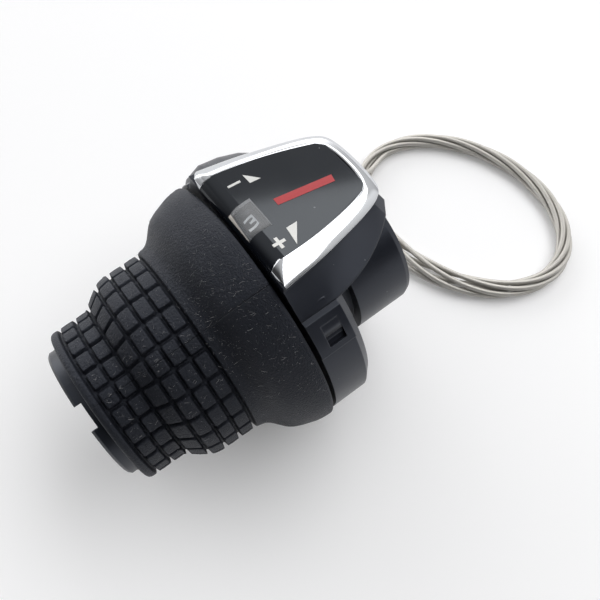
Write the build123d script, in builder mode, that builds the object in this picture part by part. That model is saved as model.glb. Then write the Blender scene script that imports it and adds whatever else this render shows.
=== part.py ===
from build123d import *
from math import cos, pi, radians, sin, sqrt, tan
import os

# Left-hand three-speed twist grip shifter for a flat handlebar.
# X is the bar's axis, with +X towards the middle of the bicycle. +Z is up, the way the display faces,
# and +Y is forwards. The origin is on the bar's axis, in the parting between grip and housing.
# Lengths are millimetres and angles degrees. A turn round the bar is measured from +Z towards +Y.

# Handlebar and fits
bar_diameter = 22.2
clamp_clearance = 0.05
sleeve_clearance = 0.2
bearing_clearance = 0.06
drum_clearance = 0.5
seat_clearance = 0.1
washer_play = 0.05
cable_seat_gap = 0.05
over_cut = 2.0

# Rubber grip
grip_length = 36.0
grip_radius = 16.7
palm_radius = 20.5
rim_radius = 27.1
rim_round = 0.6
swell_start = -28.2
swell_end = -23.2
flare_start = -13.4
collar_ramp = 0.4
collar_rise = 0.4
rubber_wall = 2.0
flare_wall = 2.3
flare_inset = 0.8

# Tread: columns of blocks along the bar, rows of blocks round it
tread_start = -33.6
tread_columns = 6
tread_rows = 26
tread_pitch = 3.3
block_length = 2.5
tread_depth = 1.1
tread_end_gap = 0.5
groove_rise = 3.0
groove_lift = 0.15
row_groove = 0.85
row_turn = 2.3

# Grip sleeve with its cable drum
sleeve_wall = 2.0
lug_length = 2.4
lug_depth = 1.4
lug_radius = 14.0
lug_bevel = 0.5
lug_count = 4
lug_notch = 5.2
lug_turn = -27.5
drum_tube_wall = 2.4
web_thickness = 2.2
flange_lip = 3.0
flange_thickness = 1.2
flange_gap = 0.8
drum_width = 5.0
wrap_depth = 1.2
detent_step = 40.0
detent_radius = 1.0
detent_turn = 200.0
detent_lift = 0.2

# Number ring
ring_wall = 1.6
ring_width = 4.5
ring_ahead = 10.0
ring_span = 104.0

# Housing
rim_step = 0.7
case_gap = 0.9
case_depth = 7.4
case_wall = 1.7
end_wall = 1.7
case_bevel = 1.7
hub_wall = 1.75
bead_height = 0.35
bead_length = 0.8
split_drop = 7.4
neck_length = 4.9
neck_radius = 14.0
clamp_length = 13.2
clamp_radius = 16.4
clamp_round = 1.5
pod_drop = 9.4
pod_turn = 62.0
pod_radius = 12.1
pod_length = 17.0

# Clamp screw
bolt_radius = 2.5
bolt_clearance = 0.2
bolt_head_radius = 4.2
bolt_head_height = 3.6
bolt_key = 4.0
bolt_key_depth = 2.2
nut_width = 8.0
nut_height = 3.2
boss_length = 9.0
boss_front = 7.0
boss_back = 5.0
boss_wall = 1.7
slit_width = 1.6
slit_offset = 1.0
ear_gap = 0.4

# Cable, guide and adjuster
cable_radius = 0.6
nipple_radius = 2.0
nipple_length = 4.5
wrap_turn = 95.0
tangent_turn = 68.0
tangent_run = 11.8
guide_bend = 5.0
guide_radius = 1.6
guide_bore = 0.8
guide_tail = 1.5
adjuster_thread = 2.5
adjuster_play = 0.05
adjuster_head_radius = 3.7
adjuster_head_length = 8.5
adjuster_flutes = 10
adjuster_flute_radius = 0.55
adjuster_bore = 0.95
ferrule_radius = 2.55
ferrule_depth = 5.0
adjuster_boss_wall = 1.8
adjuster_boss_length = 5.6
adjuster_gap = 1.0
spring_thickness = 0.3
spring_rim = 0.1

# Detent spring
leaf_thickness = 0.4
leaf_width = 4.0
leaf_lift = 0.8
leaf_bump = 0.9
leaf_play = 0.25

# Upper cover and display
cover_inset = 0.2
shoulder_back = 1.2
cheek_bulge = 1.6
lip_bulge = 0.2
nose_back = 2.3
nose_half_width = 10.2
tip_back = 0.4
tip_half_width = 7.4
seat_drop = 0.7
seat_tilt = 6.2
lip_height = 1.3
lip_inset = 0.4
display_y = 0.7
bezel_step = 2.9
bezel_shoulder_x = 12.5
bezel_taper = 2.1
bezel_nose_inset = 0.6
bezel_slope = 1.0
bezel_width = 4.2
bezel_land = 0.3
bezel_corner = 2.8
panel_rise = 2.2
panel_tilt = 8.8
panel_thickness = 1.0
panel_front = 1.3
front_roll = 3.2
panel_taper = 1.2
panel_nose_back = 0.6
panel_nose_half_width = 6.4
panel_corner = 2.2
window_x = 1.6
window_length = 4.6
window_width = 6.4
window_y = -0.3
window_ledge = 0.4
lens_thickness = 1.6
nose_pocket_wall = 2.2
nose_pocket_depth = 2.6

# Cover latches
latch_x = 5.0
latch_width = 3.4
latch_turn = 50.0
latch_thickness = 0.7
latch_skin = 0.5
latch_drop = 3.9
latch_root = 0.9
latch_window_length = 4.6
latch_barb = 0.5
latch_barb_length = 2.0
pad_rise = 0.6
pad_root = 0.5
pad_start = 43.0
pad_end = 61.0

# Cable that lies free beside the shifter
coil_x = 61.7
coil_y = 1.2
coil_half_length = 28.4
coil_half_width = 20.0
coil_turn = 7.0
coil_bundle = 5.0

# Worked-out radii and places
clamp_bore = bar_diameter / 2 + clamp_clearance
sleeve_bore = bar_diameter / 2 + sleeve_clearance
hub_radius = clamp_bore + hub_wall
bearing_radius = hub_radius + bearing_clearance
drum_tube_radius = bearing_radius + drum_tube_wall
grip_seat = grip_radius - tread_depth - rubber_wall
palm_seat = palm_radius - tread_depth - rubber_wall
rim_seat = rim_radius - flare_wall
case_radius = rim_radius - rim_step
cavity_radius = case_radius - case_wall
flange_radius = cavity_radius - drum_clearance
drum_radius = flange_radius - flange_lip
wrap_radius = drum_radius - wrap_depth
flange_start = case_gap + flange_gap
drum_start = flange_start + flange_thickness
drum_end = drum_start + drum_width
groove_x = drum_start + drum_width / 2
washer_thickness = case_gap + case_depth - drum_end - washer_play
cavity_end = case_gap + case_depth
case_end = cavity_end + end_wall
clamp_start = case_end + neck_length
clamp_end = clamp_start + clamp_length
web_start = flare_start - web_thickness / 2
groove_floor = wrap_radius - cable_radius - cable_seat_gap
pod_offset = case_radius - pod_drop
split_height = case_radius - split_drop
seat_height = case_radius - seat_drop
panel_height = seat_height + panel_rise
cover_half_width = sqrt(case_radius**2 - split_height**2) - cover_inset
bezel_half_width = cover_half_width - bezel_step
panel_half_width = bezel_half_width - bezel_width
shoulder_x = case_end - shoulder_back
nose_x = clamp_end - nose_back
tip_x = clamp_end - tip_back
panel_nose_x = nose_x - panel_nose_back
floor_height = -rim_radius


def ring_point(radius, turn):
    """Place (y, z) at a turn round the bar."""
    return (radius * sin(radians(turn)), radius * cos(radians(turn)))


def ring_plane(x, radius, turn):
    """Plane tangent to the bar's circle: local X runs along the bar, local Y onwards, Z outwards."""
    y, z = ring_point(1.0, turn)
    return Plane(origin=(x, radius * y, radius * z), x_dir=(1, 0, 0), z_dir=(0, y, z))


def half_plane(turn):
    """Plane through the bar's axis: local X runs along the bar and local Y outwards."""
    y, z = ring_point(1.0, turn)
    return Plane(origin=(0, 0, 0), x_dir=(1, 0, 0), z_dir=(0, -z, y))


def round_the_bar(solid, count, first_turn):
    """Copies of a solid spaced evenly round the bar."""
    return [solid.rotate(Axis.X, -first_turn - i * 360 / count) for i in range(count)]


def tread_radius(x):
    """Outer radius of the tread at a place along the bar."""
    share = min(max((x - swell_start) / (swell_end - swell_start), 0.0), 1.0)
    return grip_radius + share * (palm_radius - grip_radius)


def flare_radius(share):
    """Outer radius on the flare, as a share of the way from palm to rim."""
    return palm_radius + collar_rise + share * (rim_radius - palm_radius - collar_rise)


def both_sides(points, centre):
    """Points (x, half width) as places on the +Y side, then mirrored back along the -Y side."""
    return [(x, centre + y) for x, y in points] + [(x, centre - y) for x, y in reversed(points)]


def outward_middle(start, end, bulge):
    """Middle of two places, moved across the bar."""
    return ((start[0] + end[0]) / 2, (start[1] + end[1]) / 2 + bulge)


def bowed_outline(points, centre):
    """Closed outline in plan whose first three points on each side lie on an arc."""
    around = both_sides(points, centre)
    ThreePointArc(*around[:3])
    Polyline(*around[2:-2])
    ThreePointArc(*around[-3:])
    Line(around[-1], around[0])


def cheek_outline(points, centre, bulge):
    """Closed outline in plan whose second stretch on each side bulges outwards."""
    around = both_sides(points, centre)
    Line(*around[:2])
    ThreePointArc(around[1], outward_middle(around[1], around[2], bulge), around[2])
    Polyline(*around[2:6])
    ThreePointArc(around[5], outward_middle(around[5], around[6], -bulge), around[6])
    Polyline(*around[6:], around[0])


# Flare: an S-curve from the palm's collar out to the rim
flare_points = [
    (flare_start + collar_ramp, flare_radius(0.0)),
    (0.80 * flare_start, flare_radius(0.20)),
    (0.63 * flare_start, flare_radius(0.60)),
    (0.38 * flare_start, flare_radius(0.85)),
    (-rim_round, rim_radius),
]
seat_points = [
    (-grip_length, grip_seat),
    (swell_start, grip_seat),
    (swell_end, palm_seat),
    (flare_start, palm_seat),
    (0.60 * flare_start, flare_radius(0.60) - flare_wall),
    (0.36 * flare_start, flare_radius(0.83) - flare_wall),
    (-flare_inset, rim_seat),
]

# Tread groove that runs along the bar
tread_end = flare_start - tread_end_gap
with BuildPart() as tread_groove:
    with BuildSketch(Plane.XZ):
        with BuildLine():
            Polyline(
                (tread_start, tread_radius(tread_start) - tread_depth + groove_lift),
                (swell_start, grip_radius - tread_depth + groove_lift),
                (swell_end, palm_radius - tread_depth + groove_lift),
                (tread_end, palm_radius - tread_depth + groove_lift),
                (tread_end, palm_radius + groove_rise),
                (tread_start, palm_radius + groove_rise),
                close=True,
            )
        make_face()
    extrude(amount=row_groove / 2, both=True)

# Rubber grip: lip, block tread and flared rim, moulded in one
with BuildPart() as rubber_grip:
    with BuildSketch(Plane.XZ):
        with BuildLine():
            Polyline(
                seat_points[0],
                (-grip_length, grip_radius - 2 * rim_round),
                (-grip_length + rim_round, grip_radius - rim_round / 2),
                (-grip_length + 2 * rim_round, grip_radius),
                (swell_start, grip_radius),
                (swell_end, palm_radius),
                (tread_end, palm_radius),
                flare_points[0],
            )
            Spline(*flare_points, tangents=((1, 0.1), (1, 0.05)))
            Polyline(flare_points[-1], (0, rim_radius - rim_round), (0, rim_seat), seat_points[-1])
            Polyline(*reversed(seat_points))
        make_face()
    revolve(axis=Axis.X)
    with BuildSketch(Plane.XZ):
        for column in range(tread_columns + 1):
            groove_centre = tread_start + column * tread_pitch - (tread_pitch - block_length) / 2
            with Locations((groove_centre, tread_radius(groove_centre) - tread_depth)):
                Rectangle(tread_pitch - block_length, groove_rise, align=(Align.CENTER, Align.MIN))
    revolve(axis=Axis.X, mode=Mode.SUBTRACT)
    add(round_the_bar(tread_groove.part, tread_rows, row_turn + 180 / tread_rows), mode=Mode.SUBTRACT)

# Grip sleeve: plastic tube under the rubber, with the cable drum at its inboard end
with BuildPart() as grip_sleeve:
    with BuildSketch(Plane.XZ):
        with BuildLine():
            Polyline(
                (-grip_length - lug_length, sleeve_bore),
                (-grip_length - lug_length, lug_radius - lug_bevel),
                (-grip_length - lug_length + lug_bevel, lug_radius),
                (-grip_length, lug_radius),
                *seat_points,
                (-flare_inset, rim_seat - sleeve_wall),
                (0.40 * flare_start, flare_radius(0.80) - flare_wall - sleeve_wall),
                (0.66 * flare_start, flare_radius(0.52) - flare_wall - sleeve_wall),
                (web_start + web_thickness, drum_tube_radius),
                (flange_start, drum_tube_radius),
                (flange_start, flange_radius),
                (drum_start, flange_radius),
                (drum_start, drum_radius),
                (groove_x - cable_radius - seat_clearance, drum_radius),
                (groove_x - cable_radius - seat_clearance, groove_floor),
                (groove_x + cable_radius + seat_clearance, groove_floor),
                (groove_x + cable_radius + seat_clearance, drum_radius),
                (drum_end, drum_radius),
                (drum_end, bearing_radius),
                (web_start, bearing_radius),
                (web_start, palm_seat - 1.2 * sleeve_wall),
                (swell_end + 0.5 * sleeve_wall, palm_seat - 1.2 * sleeve_wall),
                (swell_start + 0.8 * sleeve_wall, sleeve_bore),
                close=True,
            )
        make_face()
    revolve(axis=Axis.X)
    for lug in range(lug_count):
        with BuildSketch(ring_plane(-grip_length - lug_length, 0, lug_turn + lug * 360 / lug_count)):
            Rectangle(2 * lug_depth, lug_notch)
        extrude(amount=lug_radius + over_cut, mode=Mode.SUBTRACT)
    for step in range(3):
        notch = ring_point(drum_radius + detent_lift, detent_turn - step * detent_step)
        with BuildSketch(Plane.YZ.offset(drum_start)):
            with Locations(notch):
                Circle(detent_radius)
        extrude(amount=drum_width, mode=Mode.SUBTRACT)
    nipple_start = tangent_turn - wrap_turn
    with BuildSketch(ring_plane(groove_x, wrap_radius - nipple_radius - seat_clearance, nipple_start)):
        with Locations((0, -nipple_length / 2 - seat_clearance)):
            Rectangle(2 * (nipple_radius + seat_clearance), nipple_length + 2 * seat_clearance)
    extrude(amount=drum_radius, mode=Mode.SUBTRACT)

# Number ring: band that carries the gear numbers past the window
with BuildPart() as number_ring:
    with BuildSketch(half_plane(ring_ahead)):
        with Locations((drum_start, flange_radius - ring_wall)):
            Rectangle(ring_width, ring_wall, align=(Align.MIN, Align.MIN))
    revolve(axis=Axis.X, revolution_arc=ring_span)

# Cable head in its pocket in the drum
with BuildPart() as cable_head:
    head_plane = ring_plane(groove_x, wrap_radius, nipple_start)
    with BuildSketch(Plane(origin=head_plane.origin, x_dir=(1, 0, 0), z_dir=-head_plane.y_dir)):
        Circle(nipple_radius)
    extrude(amount=nipple_length)

# Cable on the drum, from its head to where it leaves
with BuildPart() as cable_wrap:
    with BuildSketch(half_plane(tangent_turn)):
        with Locations((groove_x, wrap_radius)):
            Circle(cable_radius)
    revolve(axis=Axis.X, revolution_arc=wrap_turn)

# Cable from the drum round the guide to the adjuster's mouth
leave = ring_plane(groove_x, wrap_radius, tangent_turn)
leave_start = leave.origin
leave_way = leave.y_dir
bend_start = leave_start + leave_way * tangent_run
bend_end = bend_start + leave_way * guide_bend + Vector(guide_bend, 0, 0)
exit_y = bend_end.Y
exit_z = bend_end.Z
guide_end = bend_end.X + guide_tail
boss_start = groove_x - guide_radius - case_wall
boss_end = case_end + adjuster_boss_length
head_start = boss_end + adjuster_gap
adjuster_end = head_start + adjuster_head_length
bend_corner = bend_start + leave_way * guide_bend
with BuildPart() as cable_run:
    with BuildLine() as run_path:
        FilletPolyline(leave_start, bend_corner, (adjuster_end, exit_y, exit_z), radius=guide_bend)
    with BuildSketch(Plane(origin=leave_start, x_dir=(1, 0, 0), z_dir=leave_way)):
        Circle(cable_radius)
    sweep(path=run_path.line)

# Cable guide: smooth bent tube that turns the cable along the bar
with BuildPart() as cable_guide:
    with BuildLine() as guide_path:
        TangentArc(bend_start, bend_end, tangent=leave_way)
        Line(bend_end, (guide_end, exit_y, exit_z))
    with BuildSketch(Plane(origin=bend_start, x_dir=(1, 0, 0), z_dir=leave_way)):
        Circle(guide_radius)
        Circle(guide_bore, mode=Mode.SUBTRACT)
    sweep(path=guide_path.line)

# Cover latches: legs on the cover, pockets and windows in the housing
latch_radius = cavity_radius + latch_skin + latch_thickness / 2
latch_foot = latch_radius * cos(radians(latch_turn))
latch_reach = (split_height + latch_root - latch_foot) / sin(radians(latch_turn))
window_middle = latch_window_length / 2 - latch_drop


def latch_plane(side):
    """Plane at a latch's middle: local Y points up towards the cover on either side."""
    y, z = ring_point(1.0, side * latch_turn)
    return Plane(origin=(latch_x, latch_radius * y, latch_radius * z), x_dir=(-side, 0, 0), z_dir=(0, y, z))


# Base housing: drum case, hub, neck and handlebar clamp in one moulding
boss_centre_x = clamp_end - clamp_round - boss_length / 2
bolt_z = -clamp_radius - bolt_radius - ear_gap
boss_floor = bolt_z - bolt_head_radius + boss_wall / 2
pod_y, pod_z = ring_point(pod_offset, pod_turn)
with BuildPart() as base_housing:
    with BuildSketch(Plane.XZ):
        with BuildLine():
            Polyline(
                (web_start - bead_length, 0),
                (web_start - bead_length, hub_radius),
                (web_start - bead_length / 2, hub_radius + bead_height),
                (web_start - washer_play, hub_radius + bead_height),
                (web_start - washer_play, hub_radius),
                (case_gap, hub_radius),
                (case_gap, case_radius),
                (case_end - case_bevel, case_radius),
                (case_end, case_radius - case_bevel),
                (case_end, neck_radius),
                (clamp_start, neck_radius),
                (clamp_start, clamp_radius),
                (clamp_end - clamp_round, clamp_radius),
                (clamp_end - 0.3 * clamp_round, clamp_radius - 0.3 * clamp_round),
                (clamp_end, clamp_radius - clamp_round),
                (clamp_end, 0),
                close=True,
            )
        make_face()
    revolve(axis=Axis.X)
    # Pod on the front, over the cable's way out of the drum
    with BuildSketch(Plane(origin=(0, pod_y, pod_z), x_dir=(1, 0, 0), z_dir=(0, -1, 0))):
        with BuildLine():
            Polyline(
                (case_gap, 0),
                (case_gap, 0.76 * pod_radius),
                (case_gap + 0.10 * pod_length, 0.91 * pod_radius),
                (case_gap + 0.30 * pod_length, pod_radius),
                (case_gap + 0.54 * pod_length, 0.95 * pod_radius),
                (case_gap + 0.78 * pod_length, 0.84 * pod_radius),
                (case_gap + pod_length, 0.66 * pod_radius),
                (case_gap + pod_length, 0),
                close=True,
            )
        make_face()
    revolve(axis=Axis((0, pod_y, pod_z), (1, 0, 0)))
    # Raised pads round the latch windows
    for side in (-1, 1):
        with BuildSketch(half_plane(side * pad_start)):
            with Locations((case_gap, case_radius - pad_root)):
                Rectangle(case_depth, pad_root + pad_rise, align=(Align.MIN, Align.MIN))
        revolve(axis=Axis.X, revolution_arc=-side * (pad_end - pad_start))
    # Adjuster boss
    with BuildSketch(Plane.YZ.offset(boss_start)):
        with Locations((exit_y, exit_z)):
            Circle(adjuster_thread + adjuster_boss_wall)
    extrude(amount=boss_end - boss_start)
    # Clamp ears under the bar
    with BuildSketch(Plane.XZ.offset(-boss_front)):
        with Locations((boss_centre_x, boss_floor)):
            Rectangle(boss_length, -boss_floor, align=(Align.CENTER, Align.MIN))
    extrude(amount=boss_front + boss_back)
    split(bisect_by=Plane.XY.offset(split_height), keep=Keep.BOTTOM)
    # Drum cavity round the hub
    with BuildSketch(Plane.YZ.offset(case_gap)):
        Circle(cavity_radius)
        Circle(hub_radius, mode=Mode.SUBTRACT)
    extrude(amount=case_depth, mode=Mode.SUBTRACT)
    # Bore for the handlebar, and the slit that lets the clamp close on it
    with BuildSketch(Plane.YZ.offset(web_start - bead_length)):
        Circle(clamp_bore)
    extrude(amount=clamp_end - web_start + bead_length, mode=Mode.SUBTRACT)
    with BuildSketch(Plane.XY.offset(boss_floor)):
        with Locations((clamp_start, slit_offset)):
            Rectangle(clamp_length, slit_width, align=(Align.MIN, Align.CENTER))
    extrude(amount=-boss_floor, mode=Mode.SUBTRACT)
    # Clamp screw hole and nut pocket
    with BuildSketch(Plane.XZ.offset(-boss_front)):
        with Locations((boss_centre_x, bolt_z)):
            Circle(bolt_radius + bolt_clearance)
    extrude(amount=boss_front + boss_back, mode=Mode.SUBTRACT)
    with BuildSketch(Plane.XZ.offset(boss_back)):
        with Locations((boss_centre_x, bolt_z)):
            RegularPolygon(nut_width / 2 + seat_clearance, 6, major_radius=False)
    extrude(amount=-nut_height, mode=Mode.SUBTRACT)
    # Way out for the cable: a slot for the guide, its seat and the adjuster's thread
    slot_half = guide_radius + seat_clearance
    slot_corner = bend_corner - Vector(slot_half, 0, 0)
    with BuildSketch(Plane(origin=slot_corner, x_dir=leave_way, z_dir=(1, 0, 0))):
        with Locations((-guide_bend / 2, 0)):
            Rectangle(guide_bend + 2 * slot_half, 2 * slot_half)
    extrude(amount=bend_end.X - slot_corner.X, mode=Mode.SUBTRACT)
    with BuildSketch(Plane.YZ.offset(bend_end.X)):
        with Locations((exit_y, exit_z)):
            Circle(guide_radius + seat_clearance)
    extrude(amount=guide_tail, mode=Mode.SUBTRACT)
    with BuildSketch(Plane.YZ.offset(guide_end)):
        with Locations((exit_y, exit_z)):
            Circle(adjuster_thread + adjuster_play)
    extrude(amount=boss_end - guide_end, mode=Mode.SUBTRACT)
    # Latch pockets and the windows that show the latches
    for side in (-1, 1):
        pocket = latch_plane(side).offset(-latch_thickness / 2 - seat_clearance)
        with BuildSketch(pocket):
            with Locations((0, (latch_reach - latch_drop) / 2)):
                Rectangle(latch_width + 2 * seat_clearance, latch_reach + latch_drop + 2 * seat_clearance)
        extrude(amount=latch_thickness + 2 * seat_clearance, mode=Mode.SUBTRACT)
        with BuildSketch(latch_plane(side)):
            with Locations((0, window_middle)):
                Rectangle(latch_width + 2 * seat_clearance, latch_window_length)
        extrude(amount=2 * latch_thickness, mode=Mode.SUBTRACT)

# Display form: the sloped frame and flat top that bezel, panel and window are cut from
seat_plane = Plane.XY.offset(seat_height).rotated((0, seat_tilt, 0))
panel_plane = Plane.XY.offset(panel_height).rotated((0, panel_tilt, 0))
front_foot = panel_plane.to_local_coords(seat_plane.from_local_coords(Vector(case_gap, 0, 0)))
roll_top = front_foot.X + sqrt(-front_foot.Z * (2 * front_roll + front_foot.Z))
far_edge = display_y + bezel_half_width
panel_outline = [
    (case_gap, panel_half_width),
    (bezel_shoulder_x, panel_half_width - panel_taper),
    (panel_nose_x, panel_nose_half_width),
]
crown_outline = [
    (case_gap, panel_half_width + bezel_land),
    (bezel_shoulder_x, panel_half_width - panel_taper + bezel_land),
    (panel_nose_x + bezel_land - panel_corner, panel_nose_half_width + bezel_land * 3),
    (panel_nose_x + bezel_land, panel_nose_half_width + bezel_land * 3 - panel_corner),
]
seat_outline = [
    (case_gap, bezel_half_width),
    (bezel_shoulder_x, bezel_half_width - bezel_taper),
    (nose_x - bezel_nose_inset, nose_half_width - bezel_slope),
    (tip_x - bezel_nose_inset, tip_half_width - bezel_slope / 2),
]
lip_outline = [
    (case_gap, bezel_half_width - lip_inset),
    (bezel_shoulder_x, bezel_half_width - bezel_taper - lip_inset),
    (nose_x - bezel_nose_inset - lip_inset, nose_half_width - bezel_slope - lip_inset),
    (tip_x - bezel_nose_inset - lip_inset, tip_half_width - bezel_slope / 2 - lip_inset),
]
cover_outline = [
    (case_gap, cover_half_width),
    (shoulder_x, cover_half_width),
    (nose_x, nose_half_width),
    (tip_x, tip_half_width),
]
with BuildPart() as display_form:
    with BuildSketch(seat_plane):
        with BuildLine():
            bowed_outline(seat_outline, display_y)
        make_face()
    with BuildSketch(panel_plane):
        with BuildLine():
            bowed_outline(crown_outline, display_y)
        make_face()
    loft(ruled=True)
    # Grip side rolled over from the flat top to the seat
    with BuildSketch(Plane(origin=panel_plane.origin, x_dir=panel_plane.x_dir, z_dir=(0, -1, 0))):
        with BuildLine():
            Polyline(
                (front_foot.X, front_foot.Z),
                (front_foot.X - over_cut, front_foot.Z),
                (front_foot.X - over_cut, over_cut),
                (roll_top, over_cut),
                (roll_top, 0),
            )
            TangentArc((roll_top, 0), (front_foot.X, front_foot.Z), tangent=(-1, 0))
        make_face()
    extrude(amount=2 * bezel_half_width, both=True, mode=Mode.SUBTRACT)
    # Rounded corner at the front end of the far leg
    with BuildSketch(Plane.XY.offset(panel_height + over_cut)):
        with BuildLine():
            Polyline(
                (case_gap, far_edge - bezel_corner),
                (case_gap - over_cut, far_edge - bezel_corner),
                (case_gap - over_cut, far_edge + over_cut),
                (case_gap + bezel_corner, far_edge + over_cut),
                (case_gap + bezel_corner, far_edge),
            )
            TangentArc(
                (case_gap + bezel_corner, far_edge), (case_gap, far_edge - bezel_corner), tangent=(-1, 0)
            )
        make_face()
    extrude(amount=-panel_rise - 2 * over_cut, mode=Mode.SUBTRACT)

# Opening in the frame for the panel, open towards the grip
with BuildPart() as panel_opening:
    with BuildSketch(panel_plane.offset(over_cut)):
        with BuildLine():
            bowed_outline([(case_gap - over_cut, panel_half_width), *panel_outline[1:]], display_y)
        make_face()
        fillet(vertices().sort_by(Axis.X)[-2:], radius=panel_corner)
    extrude(amount=-panel_rise - 2 * over_cut)

# Chrome bezel
with BuildPart() as chrome_bezel:
    add(display_form.part)
    add(panel_opening.part, mode=Mode.SUBTRACT)

# Window lens, flush with the panel and following its rounded grip side
with BuildPart() as window_lens:
    add(display_form.part)
    with BuildSketch(panel_plane):
        with Locations((window_x, window_y)):
            Rectangle(window_length, window_width, align=(Align.MIN, Align.CENTER))
    extrude(amount=-lens_thickness, mode=Mode.INTERSECT)

# Plinth of the cover that fills the panel from below
with BuildPart() as panel_plinth:
    add(display_form.part)
    add(panel_opening.part, mode=Mode.INTERSECT)
    split(bisect_by=panel_plane.offset(-panel_thickness), keep=Keep.BOTTOM)
    split(bisect_by=Plane.YZ.offset(case_gap + panel_front), keep=Keep.TOP)

# Display panel, turned down at the grip side
with BuildPart() as display_panel:
    add(display_form.part)
    add(panel_opening.part, mode=Mode.INTERSECT)
    add(panel_plinth.part, mode=Mode.SUBTRACT)
    add(window_lens.part, mode=Mode.SUBTRACT)

# Upper cover: shoulders, nose over the clamp, a plinth under the panel and two latch legs
with BuildPart() as upper_cover:
    add(panel_plinth.part)
    with BuildSketch(seat_plane):
        with BuildLine():
            cheek_outline(lip_outline, display_y, lip_bulge)
        make_face()
    extrude(amount=-lip_height)
    with BuildSketch(Plane.XY.offset(split_height)):
        with BuildLine():
            cheek_outline(cover_outline, 0, cheek_bulge)
        make_face()
    with BuildSketch(seat_plane.offset(-lip_height)):
        with BuildLine():
            cheek_outline(lip_outline, display_y, lip_bulge)
        make_face()
    loft(ruled=True)
    for side in (-1, 1):
        with BuildSketch(latch_plane(side).offset(-latch_thickness / 2)):
            with Locations((0, (latch_reach - latch_drop) / 2)):
                Rectangle(latch_width, latch_reach + latch_drop)
        extrude(amount=latch_thickness)
        with BuildSketch(latch_plane(side).offset(latch_thickness / 2)):
            with Locations((0, window_middle)):
                Rectangle(latch_width, latch_barb_length)
        extrude(amount=latch_barb)
    add(display_panel.part, mode=Mode.SUBTRACT)
    add(window_lens.part, mode=Mode.SUBTRACT)
    with BuildSketch(Plane.YZ.offset(0)):
        Circle(cavity_radius)
    extrude(amount=cavity_end, mode=Mode.SUBTRACT)
    with BuildSketch(panel_plane):
        with Locations((window_x + window_ledge, window_y)):
            Rectangle(
                window_length - 2 * window_ledge,
                window_width - 2 * window_ledge,
                align=(Align.MIN, Align.CENTER),
            )
    extrude(amount=cavity_radius - panel_height - over_cut, mode=Mode.SUBTRACT)
    with BuildSketch(Plane.XY.offset(split_height)):
        with BuildLine():
            pocket_outline = [
                (case_end, cover_half_width - 3 * nose_pocket_wall),
                (nose_x - nose_pocket_wall, nose_half_width - 2 * nose_pocket_wall),
            ]
            Polyline(*both_sides(pocket_outline, 0), close=True)
        make_face()
    extrude(amount=nose_pocket_depth, mode=Mode.SUBTRACT)

# Detent spring: a straight leaf across the case with a bump that drops into the drum's notches
leaf_inner = drum_radius + leaf_lift
leaf_outer = leaf_inner + leaf_thickness
leaf_reach = sqrt((cavity_radius - leaf_play) ** 2 - leaf_outer**2)
bump_centre = drum_radius + detent_lift
hollow = leaf_bump - leaf_thickness
leaf_plane = ring_plane(groove_x - leaf_width / 2, 0, detent_turn)
with BuildPart() as detent_spring:
    with BuildSketch(Plane(origin=leaf_plane.origin, x_dir=leaf_plane.y_dir, z_dir=(1, 0, 0))):
        with BuildLine():
            Polyline((-leaf_bump, bump_centre), (-leaf_bump, leaf_inner), (-leaf_reach, leaf_inner))
            Polyline((-leaf_reach, leaf_inner), (-leaf_reach, leaf_outer), (-hollow, leaf_outer))
            Line((-hollow, leaf_outer), (-hollow, bump_centre))
            ThreePointArc((-hollow, bump_centre), (0, bump_centre - hollow), (hollow, bump_centre))
            Line((hollow, bump_centre), (hollow, leaf_outer))
            Polyline((hollow, leaf_outer), (leaf_reach, leaf_outer), (leaf_reach, leaf_inner))
            Polyline((leaf_reach, leaf_inner), (leaf_bump, leaf_inner), (leaf_bump, bump_centre))
            ThreePointArc((leaf_bump, bump_centre), (0, bump_centre - leaf_bump), (-leaf_bump, bump_centre))
        make_face()
    extrude(amount=leaf_width)

# Thrust washer between the drum and the end wall
with BuildPart() as thrust_washer:
    with BuildSketch(Plane.YZ.offset(cavity_end - washer_thickness)):
        Circle(drum_tube_radius)
        Circle(hub_radius + seat_clearance, mode=Mode.SUBTRACT)
    extrude(amount=washer_thickness)

# Barrel adjuster: threaded shank, fluted head and socket for the casing's ferrule
adjuster_start = guide_end + seat_clearance
with BuildPart() as barrel_adjuster:
    with BuildSketch(Plane.YZ.offset(adjuster_start)):
        with Locations((exit_y, exit_z)):
            Circle(adjuster_thread)
    extrude(amount=head_start - adjuster_start)
    with BuildSketch(Plane.YZ.offset(head_start)):
        with Locations((exit_y, exit_z)):
            Circle(adjuster_head_radius)
            with PolarLocations(adjuster_head_radius, adjuster_flutes):
                Circle(adjuster_flute_radius, mode=Mode.SUBTRACT)
    extrude(amount=adjuster_head_length)
    with BuildSketch(Plane.YZ.offset(adjuster_start)):
        with Locations((exit_y, exit_z)):
            Circle(adjuster_bore)
    extrude(amount=adjuster_end - adjuster_start, mode=Mode.SUBTRACT)
    with BuildSketch(Plane.YZ.offset(adjuster_end - ferrule_depth)):
        with Locations((exit_y, exit_z)):
            Circle(ferrule_radius)
    extrude(amount=ferrule_depth, mode=Mode.SUBTRACT)

# Adjuster spring: a disc spring between the boss and the adjuster's head
spring_foot = boss_end + adjuster_play
spring_top = head_start - adjuster_play
spring_inner = adjuster_thread + seat_clearance
spring_outer = adjuster_head_radius - spring_rim
with BuildPart() as adjuster_spring:
    with BuildSketch(Plane(origin=(0, exit_y, exit_z), x_dir=(1, 0, 0), z_dir=(0, -1, 0))):
        with BuildLine():
            Polyline(
                (spring_foot, spring_outer),
                (spring_foot + spring_thickness, spring_outer),
                (spring_top, spring_inner),
                (spring_top - spring_thickness, spring_inner),
                close=True,
            )
        make_face()
    revolve(axis=Axis((0, exit_y, exit_z), (1, 0, 0)))

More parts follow.
